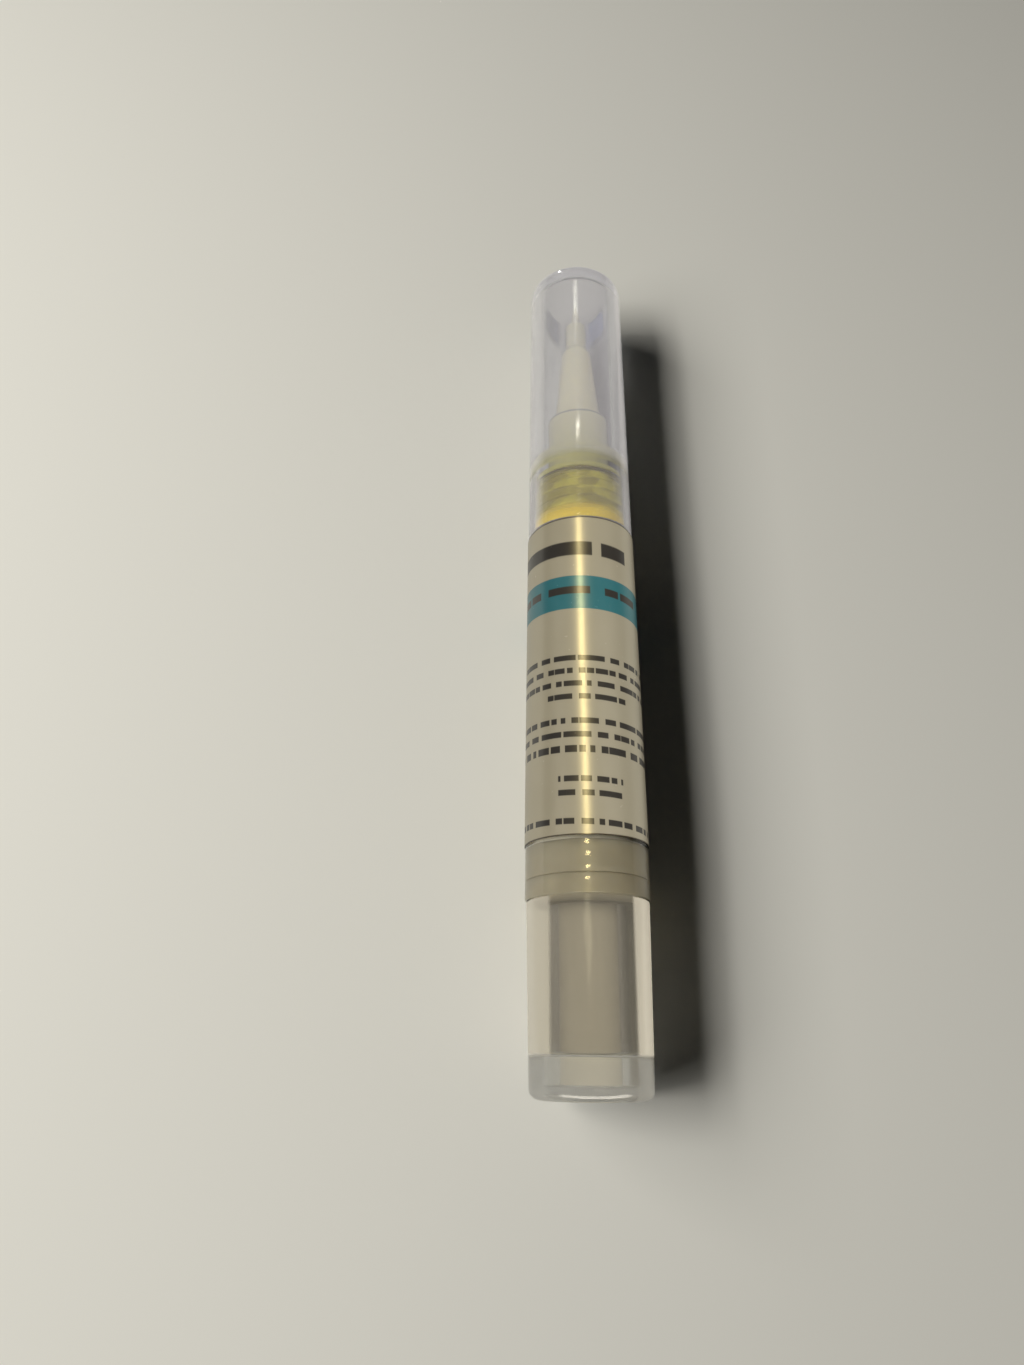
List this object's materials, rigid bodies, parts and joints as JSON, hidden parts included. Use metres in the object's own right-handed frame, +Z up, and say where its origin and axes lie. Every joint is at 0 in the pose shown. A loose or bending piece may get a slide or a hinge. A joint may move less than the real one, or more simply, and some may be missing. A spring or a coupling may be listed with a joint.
{
  "type": "nail oil pen",
  "caption": "Twist-up nail oil pen lying on its side: frosted pull-off cap over a brush nozzle, clear barrel with a film label, and a clear ratchet knob that feeds a piston.",
  "frame": {"origin": "under the middle of the pen's length, on the surface that it lies on", "axes": "+Y along the pen from the knob to the cap, +Z up from the surface, +X to the right seen from the knob end"},
  "size_m": [0.0132, 0.1026, 0.0133],
  "materials": {
    "frosted_cap": "frosted translucent polypropylene",
    "frosted_nozzle": "frosted translucent polypropylene",
    "ferrule": "satin",
    "nylon": "fine nylon filament",
    "clear_barrel": "clear polished",
    "label_film": "satin printed film",
    "oil": "clear yellow liquid",
    "piston_plastic": "soft polyethylene",
    "works_plastic": "natural polypropylene",
    "clear_knob": "clear polished"
  },
  "bodies": {
    "barrel": {"barrel": "clear_barrel", "label": "label_film", "oil": "oil", "thread_sleeve": "works_plastic", "nozzle": "frosted_nozzle", "brush_ferrule": "ferrule", "feed_tube": "ferrule", "bristles": "nylon"},
    "cap": {"cap": "frosted_cap"},
    "knob": {"knob": "clear_knob", "click_driver": "works_plastic"},
    "screw": {"screw_rod": "works_plastic"},
    "piston": {"piston": "piston_plastic"}
  },
  "joints": [
    {"name": "cap_pull", "type": "slide", "parent": "barrel", "child": "cap", "axis": [0, 1, 0], "range_m": [0, 0.042]},
    {"name": "knob_twist", "type": "hinge", "parent": "barrel", "child": "knob", "pos_m": [0, -0.0513, 0.00665], "axis": [0, 1, 0], "range_deg": [0, 4320]},
    {"name": "screw_feed", "type": "slide", "parent": "knob", "child": "screw", "axis": [0, 1, 0], "range_m": [0, 0.018]},
    {"name": "piston_feed", "type": "slide", "parent": "barrel", "child": "piston", "axis": [0, 1, 0], "range_m": [0, 0.018], "deforming": ["oil"]}
  ],
  "couplings": [
    {"joint": "screw_feed", "follows": "knob_twist", "m_per_rad": 0.00023873},
    {"joint": "piston_feed", "follows": "knob_twist", "m_per_rad": 0.00023873}
  ]
}
